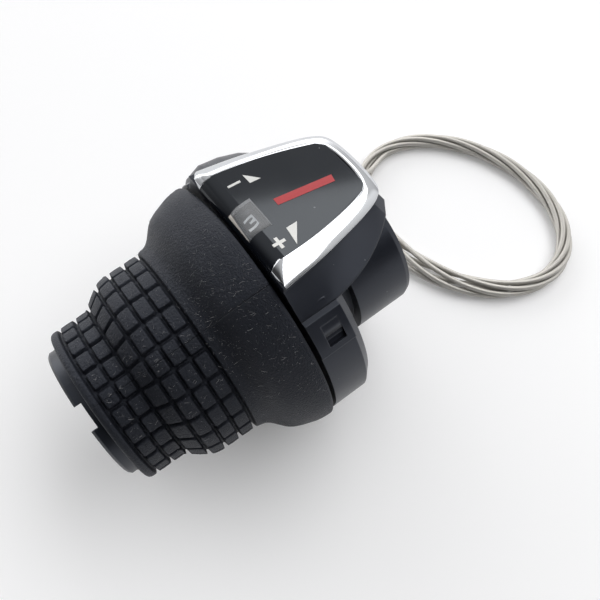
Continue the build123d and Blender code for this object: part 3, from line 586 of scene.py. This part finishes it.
# %% [markdown]
# ## The rubber grip
# Lip, block tread and flared rim are one moulding with rounded blocks, which a solid with sharp grooves can
# only hint at. It could be cut with booleans and bevelled, but a turned outline is simpler: every point
# starts on the outline, and sinks by how far it lies outside the nearest block. Points crowd together at
# the block edges, where the surface turns.

# %% Outline of the grip
tread_start, pitch, block, groove_depth = -33.6, 3.3, 2.6, 1.1
rows, columns, row_turn, row_groove, corner, groove_middle = 26, 6, 2.3, 0.72, 0.35, 0.4
first_groove, last_groove = tread_start - groove_middle, tread_start + columns * pitch - groove_middle
tread_line = [
    (-34.8, 16.7), (-28.2, 16.8), (-24.4, 19.6), (-23.2, 20.2), (-21.6, 20.5), (-14.2, 20.6), (-13.5, 20.75),
]
flare, highest, flare_start, flare_end = [], 20.9, -12.8 * MM, -0.7 * MM
for vertex in sorted(nodes["rubber_grip"].data.vertices, key=lambda v: v.co.x):
    radius = math.hypot(vertex.co.y, vertex.co.z) / MM
    if flare_start < vertex.co.x < flare_end and radius > highest + 0.02:
        highest = radius
        flare.append((vertex.co.x / MM, radius))
outline_x, outline_r = zip(*tread_line, *flare, (-0.6, 27.1))
print("flare read from the solid at", len(flare), "places")

# %% Rows and columns of points
lip = [(-36.0, 15.2), (-36.0, 16.0), (-35.94, 16.25), (-35.78, 16.47), (-35.5, 16.62), (-35.2, 16.7)]
near_groove = [-0.6, -0.46, -0.38, -0.3, -0.2]
over_block = [0.0, 0.2, 0.3, 0.38, 0.46, 0.6, 0.85, 1.25, 1.65, 2.05, 2.45, 2.7, 2.84, 2.92, 3.0, 3.1]
along_bar = [first_groove + step for step in near_groove]
for column in range(columns):
    along_bar += [first_groove + column * pitch + step for step in over_block]
along_bar += [last_groove + step for step in (0.0, 0.2, 0.3, 0.38, 0.46, 0.6, 0.8)]
along_bar += list(np.linspace(-13.2, -0.6, 40))
rim = [(-0.36, 27.05), (-0.17, 26.92), (-0.05, 26.74), (0.0, 26.5), (0.0, 25.6), (0.0, 24.8)]
seat = [
    (-0.8, 24.8), (-4.82, 23.75), (-8.04, 22.32), (-13.4, 17.4), (-23.2, 17.4), (-28.2, 13.6), (-36.0, 13.6),
]
row_pitch = 360 / rows
over_row = [0.0, 0.75, 1.1, 1.4, 1.75, 2.4, 4.2, 6.923, 9.65, 11.45, 12.1, 12.45, 12.75, 13.1]
round_bar = np.array([row_turn + row_pitch * (row + 0.5) + step for row in range(rows) for step in over_row])
print(len(lip) + len(along_bar) + len(rim) + len(seat), "rings of", len(round_bar), "points")


# %% How far each point sinks
end_groove, wall_start, wall_width, crown_width, crown_height = 0.4, 0.12, 0.34, 1.2, 0.06


def outside_block(x, turns, radius):
    """Distance outside the nearest rounded block, in millimetres; negative on a block."""
    if x < first_groove:
        return np.full_like(turns, x - (first_groove - end_groove))
    if x > last_groove:
        return np.full_like(turns, last_groove + end_groove - x)
    along = abs((x - first_groove) % pitch - pitch / 2) - block / 2
    arc = np.radians(row_pitch) * radius
    across = np.abs((turns - row_turn + row_pitch / 2) % row_pitch - row_pitch / 2) * arc / row_pitch
    across -= (arc - row_groove) / 2
    far = np.hypot(np.maximum(along + corner, 0), np.maximum(across + corner, 0))
    return far + np.minimum(np.maximum(along + corner, across + corner), 0) - corner


def sunk_ring(x):
    """Radii of one ring of points, with the grooves let in and the blocks slightly crowned."""
    radius = float(np.interp(x, outline_x, outline_r))
    outside = outside_block(x, round_bar, radius)
    wall = np.clip((outside + wall_start) / wall_width, 0, 1)
    crown = np.clip(-outside / crown_width, 0, 1) if first_groove < x < last_groove else 1.0
    return radius - groove_depth * wall * wall * (3 - 2 * wall) - crown_height * (1 - crown)


rings = [(x, np.full_like(round_bar, r)) for x, r in lip]
rings += [(x, sunk_ring(x)) for x in along_bar]
rings += [(x, np.full_like(round_bar, r)) for x, r in rim + seat]
deepest = min(float(radii.min()) for x, radii in rings if first_groove < x < last_groove)
print("deepest groove", round(deepest, 2), "mm from the axis")


# %% The grip as a mesh
def link_piece(name, mesh, body, finish):
    """Puts a mesh into the scene as a piece on a body and finish."""
    piece = bpy.data.objects.new(name, mesh)
    bpy.context.scene.collection.objects.link(piece)
    mesh.materials.append(finish)
    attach(piece, body)
    return piece


sines, cosines = np.sin(np.radians(round_bar)), np.cos(np.radians(round_bar))
corners = [
    (x * MM, r * s * MM, r * c * MM) for x, radii in rings for r, s, c in zip(radii, sines, cosines)
]
n = len(round_bar)
starts = [(i * n, (i + 1) % len(rings) * n) for i in range(len(rings))]
faces = [
    (this + j, this + (j + 1) % n, following + (j + 1) % n, following + j)
    for this, following in starts for j in range(n)
]
tread_mesh = bpy.data.meshes.new("moulded_grip")
tread_mesh.from_pydata(corners, [], faces)
tread_mesh.shade_smooth()
turned = bmesh.new()
turned.from_mesh(tread_mesh)
bmesh.ops.recalc_face_normals(turned, faces=turned.faces)
turned.to_mesh(tread_mesh)
moulded_grip = link_piece("moulded_grip", tread_mesh, "grip", grip_rubber)
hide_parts("rubber_grip")
print("grip of", len(tread_mesh.polygons), "faces")

# %% [markdown]
# ## Numbers on the dial
# White numbers are printed on the ring that turns with the grip, one for each gear, and the window shows one
# at a time. Each could be drawn point by point, but a text object already has the shape. Its mesh is cut
# finer and wrapped round the ring. In the window a number looks wide and leaning, so it is stretched along
# the bar, pressed flatter and sheared on the way.

# %% Gear numbers
dial_radius, dial_x, first_turn, gear_step = 24.2, 4.85, 1.8, 40.0
number_size, swell, ink_lift, ink_thickness = 5.7, 0.1, 0.03, 0.02
stretch_wide, press_high, lean = 1.42, 0.65, 0.25
dial = bmesh.new()
for gear, turn_deg in ((3, first_turn), (2, first_turn - gear_step), (1, first_turn - 2 * gear_step)):
    text = bpy.data.curves.new("gear_number", "FONT")
    text.body, text.size, text.offset = str(gear), number_size, swell
    text.align_x, text.align_y = "CENTER", "CENTER"
    shaper = bpy.data.objects.new("gear_number", text)
    flat_number = bpy.data.meshes.new_from_object(shaper)
    shape = bmesh.new()
    shape.from_mesh(flat_number)
    bmesh.ops.remove_doubles(shape, verts=shape.verts, dist=0.001)
    bmesh.ops.triangulate(shape, faces=shape.faces)
    bmesh.ops.subdivide_edges(shape, edges=shape.edges, cuts=2, use_grid_fill=True)
    bmesh.ops.triangulate(shape, faces=shape.faces)
    for vert in shape.verts:
        wide = stretch_wide * vert.co.x
        high = press_high * vert.co.y + lean * wide
        angle = math.radians(turn_deg) + high / dial_radius
        lifted = dial_radius + ink_lift
        vert.co = Vector((dial_x + wide, lifted * math.sin(angle), lifted * math.cos(angle))) * MM
    shape.to_mesh(flat_number)
    dial.from_mesh(flat_number)
    bpy.data.objects.remove(shaper)
number_mesh = bpy.data.meshes.new("gear_numbers")
dial.to_mesh(number_mesh)
gear_numbers = link_piece("gear_numbers", number_mesh, "grip", white_ink)
gear_numbers.modifiers.new("ink_thickness", "SOLIDIFY").thickness = ink_thickness * MM
print("numbers of", len(number_mesh.polygons), "faces")

# %% [markdown]
# ## Marks on the panel
# Minus, plus, two pointers and a plain red bar are printed on the panel. They could be painted by the
# panel's finish, but a print has a crisp edge. So each is a flat outline in the panel's own plane, lifted by
# a hair and given the thickness of ink.

# %% Printed marks
panel_height, panel_tilt = 27.9, math.radians(8.8)


def on_panel(u, v, lift=ink_lift):
    """Point on the panel: u along the bar, v across it, in millimetres."""
    x = u * math.cos(panel_tilt) + lift * math.sin(panel_tilt)
    return Vector((x, v, panel_height - u * math.sin(panel_tilt) + lift * math.cos(panel_tilt))) * MM


def printed_mark(name, outlines, ink):
    """Thin plates of ink on the panel, one for each outline."""
    plates = bmesh.new()
    for outline in outlines:
        plates.faces.new([plates.verts.new(on_panel(u, v)) for u, v in outline])
    bmesh.ops.recalc_face_normals(plates, faces=plates.faces)
    mesh = bpy.data.meshes.new(name)
    plates.to_mesh(mesh)
    mark = link_piece(name, mesh, "housing", ink)
    mark.modifiers.new("ink_thickness", "SOLIDIFY").thickness = ink_thickness * MM


plus = [(0.32, 1.25), (0.32, 0.32), (1.25, 0.32), (1.25, -0.32), (0.32, -0.32), (0.32, -1.25)]
plus += [(-u, -v) for u, v in plus]
printed_mark("minus_mark", [[(4.65, 7.85), (7.25, 7.85), (7.25, 7.35), (4.65, 7.35)]], silver_foil)
printed_mark("plus_mark", [[(5.1 + u, -7.35 + v) for u, v in plus]], silver_foil)
pointers = [[(8.35, 8.65), (8.45, 6.3), (10.7, 6.2)], [(7.9, -5.45), (10.25, -5.3), (7.4, -9.3)]]
printed_mark("pointer_marks", pointers, silver_foil)
printed_mark("red_bar", [[(9.7, 1.0), (9.65, -0.6), (21.2, -1.75), (21.55, -0.15)]], red_ink)
print("marks on the panel: 4")

# %% [markdown]
# ## The window
# The lens lies flush in the panel and runs down over its rounded front edge, where it ends in a pale foot,
# a thin wedge. Lens and foot are thin plates bent over the same profile: flat on the panel, then round the
# roll. Four walls line the opening between the lens and the ring, where the sides of a real lens are; their
# dark, matt colour is painted shade that keeps the deep opening dark.

# %% Lens plates
roll, roll_top, lens_lift, lens_depth = 3.2, 4.253, 0.05, 0.25
lens_front, lens_back, lens_near, lens_far, lens_width = 1.62, 6.4, -3.55, 2.9, 6.45
foot_start, foot_grows, far_side_lean = 1.66, 0.4, 0.12 * 4.8


def over_roll(u, v):
    """Point on the panel or, nearer the grip, on its rounded front."""
    drop = roll - math.sqrt(roll ** 2 - (roll_top - u) ** 2) if u < roll_top else 0.0
    return on_panel(u, v, lens_lift - drop)


def foot_end(v):
    """Where the pale foot stops: it's a wedge, broad at the far end."""
    return foot_start + foot_grows * ((v - lens_near) / lens_width) ** 1.5


def lens_plate(name, start, end, lean_back, finish):
    """Thin plate between two lines across the panel; its far side may lean back."""
    plate = bmesh.new()
    grid = []
    for share in np.linspace(0, 1, 13):
        across = np.linspace(lens_near, lens_far + lean_back * share, 9)
        grid.append([plate.verts.new(over_roll(start(v) + (end(v) - start(v)) * share, v)) for v in across])
    for one, two in zip(grid, grid[1:]):
        for j in range(len(one) - 1):
            plate.faces.new((one[j], two[j], two[j + 1], one[j + 1]))
    mesh = bpy.data.meshes.new(name)
    plate.to_mesh(mesh)
    mesh.shade_smooth()
    pane = link_piece(name, mesh, "housing", finish)
    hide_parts("window_lens")
    pane.modifiers.new("depth", "SOLIDIFY").thickness = lens_depth * MM


lens_plate("lens_pane", foot_end, lambda v: lens_back, far_side_lean, clear_lens)
lens_plate("lens_foot", lambda v: lens_front, foot_end, 0.0, lens_cream)
print("window from", lens_front, "to", lens_back, "mm along the panel")

# %% Walls of the window
# These walls are coloured dark and matt: painted shade that keeps the deep opening dark.
wall_corners = [(1.65, -3.45, -1.6), (6.15, -3.45, -0.3), (6.15, 2.85, -0.3), (1.65, 2.85, -1.6)]
wall_foot, wall_depth = -2.7, 0.08
walls = bmesh.new()
upper = [walls.verts.new(on_panel(u, v, top)) for u, v, top in wall_corners]
lower = [walls.verts.new(on_panel(u, v, wall_foot)) for u, v, top in wall_corners]
for k in range(4):
    walls.faces.new((upper[k], upper[(k + 1) % 4], lower[(k + 1) % 4], lower[k]))
bmesh.ops.recalc_face_normals(walls, faces=walls.faces)
wall_mesh = bpy.data.meshes.new("lens_walls")
walls.to_mesh(wall_mesh)
lens_walls = link_piece("lens_walls", wall_mesh, "housing", lens_shade)
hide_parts("window_lens")
lens_walls.modifiers.new("depth", "SOLIDIFY").thickness = wall_depth * MM
print("walls of", len(wall_mesh.polygons), "faces")

# %% [markdown]
# ## Lint
# Rubber holds lint. More than a thousand short fibres lie on the flare and on the tread blocks, each a thin
# bent tube of three sides. Hair particles could do this, but a mesh keeps its place when the grip turns and
# goes into the export. A fixed seed makes every run the same.

# %% Lint fibres
tries, from_edge, shortest, longer, bends, sides = 2400, 0.5, 0.09, 0.9, 3, 3
lint_start, lint_end, lint_top, lint_scatter = -34.0, -0.8, -18, 38
random.seed(7)
lint = bmesh.new()
for _ in range(tries):
    x, turn_deg = random.uniform(lint_start, lint_end), random.gauss(lint_top, lint_scatter)
    radius = float(np.interp(x, outline_x, outline_r))
    if first_groove < x < last_groove and outside_block(x, np.array([turn_deg]), radius)[0] > -from_edge:
        continue
    heading, bend = random.uniform(0, 2 * math.pi), random.uniform(-1.2, 1.2)
    length, thick = shortest + longer * random.random() ** 5, random.uniform(0.015, 0.035)
    loops = []
    for i in range(bends + 1):
        way_along = heading + bend * i / bends
        x += length / bends * math.cos(way_along) * (i > 0)
        turn_deg += math.degrees(length / bends * math.sin(way_along) / radius) * (i > 0)
        level = float(np.interp(x, outline_x, outline_r)) + thick
        angle = math.radians(turn_deg)
        loops.append([])
        for k in range(sides):
            side = 2 * math.pi * k / sides
            swing = angle + thick * math.cos(side) / radius
            reach_out = level + thick * math.sin(side)
            loops[-1].append(lint.verts.new(
                Vector((x, reach_out * math.sin(swing), reach_out * math.cos(swing))) * MM
            ))
    for one, two in zip(loops, loops[1:]):
        for k in range(sides):
            following = (k + 1) % sides
            lint.faces.new((one[k], one[following], two[following], two[k]))
    lint.faces.new(loops[0][::-1])
    lint.faces.new(loops[-1])
bmesh.ops.recalc_face_normals(lint, faces=lint.faces)
lint_mesh = bpy.data.meshes.new("lint_fibres")
lint.to_mesh(lint_mesh)
print("lint of", len(lint_mesh.polygons), "faces")

# %% Finish: lint grey
lint_grey, tree, shader = start_finish("lint_grey")
grain = place_group(tree, mould_grain, Size_mm=0.4)
colour = mix_colour(tree, grain.outputs["Height"], (0.13, 0.13, 0.14), (0.38, 0.38, 0.39))
tree.links.new(colour, shader.inputs["Base Color"])
vary(tree, shader, "Roughness", grain.outputs["Patches"], 0.8, 0.95)
link_piece("lint_fibres", lint_mesh, "grip", lint_grey)
print("lint_grey with", len(tree.nodes), "nodes")

# %% [markdown]
# ## The chrome frame
# The bezel is a U of chrome-plated plastic round the panel. Its crown follows the panel and its foot sits on
# the cover. The solid has flat faces, and a mirror shows every flat and kink, so a finer face stands for it.
# Four corners on each side describe crown and foot, a smooth curve goes through the corners, and the plated
# face is drawn from one curve to the other with a slight swell.

# %% Crown and foot of the frame
crown = [(1.24, 11.3), (12.5, 10.13), (23.3, 7.3), (25.5, 5.1)]
foot = [(1.24, 15.17), (12.5, 13.13), (25.2, 9.2), (27.1, 6.9)]
middle, foot_height, foot_tilt = 0.7, 25.7, math.radians(6.2)
leg_front, leg_corner = 0.9, 2.8
spans = (40, 24, 12, 20, 12, 24, 40)


def smooth_line(side):
    """Curve in plan from the front of the far leg, round the nose, to the front of the near leg."""
    corners = np.array([(u, middle + v) for u, v in side] + [(u, middle - v) for u, v in side[::-1]])
    knots = np.append(0, np.cumsum(np.linalg.norm(np.diff(corners, axis=0), axis=1) ** 0.5))
    slopes = np.gradient(corners, knots, axis=0)
    line = []
    for i, count in enumerate(spans):
        span = knots[i + 1] - knots[i]
        for t in np.arange(count) / count:
            t = t**2 if i == 0 else 1 - (1 - t) ** 2 if i == len(spans) - 1 else t
            line.append((2 * t**3 - 3 * t**2 + 1) * corners[i] + (t**3 - 2 * t**2 + t) * span * slopes[i]
                        + (3 * t**2 - 2 * t**3) * corners[i + 1] + (t**3 - t**2) * span * slopes[i + 1])
    return np.array(line + [corners[-1]])


crown_line, foot_line = smooth_line(crown), smooth_line(foot)
along = np.gradient(crown_line, axis=0)
inward = np.stack([along[:, 1], -along[:, 0]], axis=1) / np.linalg.norm(along, axis=1)[:, None]
print("frame lines of", len(crown_line), "points")


# %% Where the frame rests
def on_foot(u, v):
    """Point on the cover's seat, where the far leg's front corner is rounded."""
    near_end = max(leg_front + leg_corner - u, 0.0)
    far_edge = middle + foot[0][1] - leg_corner + math.sqrt(max(leg_corner**2 - near_end**2, 0.0))
    return Vector((u * math.cos(foot_tilt), min(v, far_edge), foot_height - u * math.sin(foot_tilt))) * MM


def under_roll(point):
    """Keeps a point below the panel's rounded front."""
    x, rise = point.x / MM, point.z / MM - panel_height
    u = max(x * math.cos(panel_tilt) - rise * math.sin(panel_tilt), roll_top - roll)
    lift = x * math.sin(panel_tilt) + rise * math.cos(panel_tilt)
    drop = roll - math.sqrt(max(roll**2 - max(roll_top - u, 0.0) ** 2, 0.0))
    return on_panel(u, point.y / MM, min(lift, -drop))


front_height = under_roll(on_panel(crown[0][0], 0.0, 0.0)).z / MM
print("crown starts", round(front_height, 2), "mm above the bar's axis")

# %% The frame as a mesh
ledge_width, ledge_round, face_swell, edge_drop, outward_lift = 0.5, 0.14, 0.7, 0.06, 1.2
over_face = (0.0, 0.03, 0.08, 0.18, 0.3, 0.42, 0.54, 0.66, 0.78, 0.88, 0.95, 0.98, 1.0)
frame_mesh = bmesh.new()
loops = []
for (u, v), (foot_u, foot_v), turned_in in zip(crown_line, foot_line, inward):
    top, bottom = on_panel(u, v, 0.0), on_foot(foot_u, foot_v)
    ledge = (u + ledge_width * turned_in[0], v + ledge_width * turned_in[1])
    out = Vector((-turned_in[0], -turned_in[1], outward_lift)).normalized()
    loop = [on_panel(*ledge, lift) for lift in (-1.0, -0.3, -0.1)]
    loop.append(on_panel(u + ledge_round * turned_in[0], v + ledge_round * turned_in[1], -0.03))
    for share in over_face:
        edge = edge_drop * (share in (0.0, 1.0))
        loop.append(top.lerp(bottom, share) + out * ((face_swell * share * (1 - share) - edge) * MM))
    loop += [top.lerp(bottom, 0.98) - out * 0.22 * MM, top.lerp(bottom, 0.8) - out * 0.6 * MM]
    loops.append([frame_mesh.verts.new(under_roll(point)) for point in loop])
for one, two in zip(loops, loops[1:]):
    for k in range(len(one)):
        frame_mesh.faces.new((one[k - 1], one[k], two[k], two[k - 1]))
for end in (loops[0], loops[-1]):
    for edge in frame_mesh.faces.new(end).edges:
        edge.smooth = False
bmesh.ops.remove_doubles(frame_mesh, verts=frame_mesh.verts, dist=0.002 * MM)
bmesh.ops.recalc_face_normals(frame_mesh, faces=frame_mesh.faces)
plated = bpy.data.meshes.new("plated_bezel")
frame_mesh.to_mesh(plated)
plated.shade_smooth()
plated_bezel = link_piece("plated_bezel", plated, "housing", bright_chrome)
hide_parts("chrome_bezel")
print("bezel of", len(plated.polygons), "faces")

# %% [markdown]
# ## Finishes on the solids
# Every solid gets its finish in the material slot that it already has. A table of finish and names keeps this
# in one place. Solids that a finer piece stands for get theirs too, so that none is left plain.

# %% Finishes on the solids
finishes = {
    grip_rubber: ["rubber_grip"],
    black_plastic: ["grip_sleeve", "base_housing", "upper_cover", "barrel_adjuster"],
    panel_gloss: ["display_panel"],
    clear_lens: ["window_lens"],
    dial_plastic: ["number_ring"],
    bright_chrome: ["chrome_bezel"],
    cable_steel: ["cable_head", "cable_wrap", "cable_run", "cable_lead", "cable_coil"],
    plain_steel: ["detent_spring", "thrust_washer", "adjuster_spring", "clamp_bolt", "clamp_nut"],
    guide_plastic: ["cable_guide"],
}
for finish, names in finishes.items():
    for name in names:
        for held in nodes[name].material_slots:
            held.material = finish
curve.materials.append(cable_steel)
print("finishes on", sum(len(names) for names in finishes.values()), "solids")

# %% [markdown]
# ## Scene update
# The dressed part has to stay inside the box of the solids. The last line brings every piece in the scene
# up to date.

# %% Scene update
bpy.context.view_layer.update()
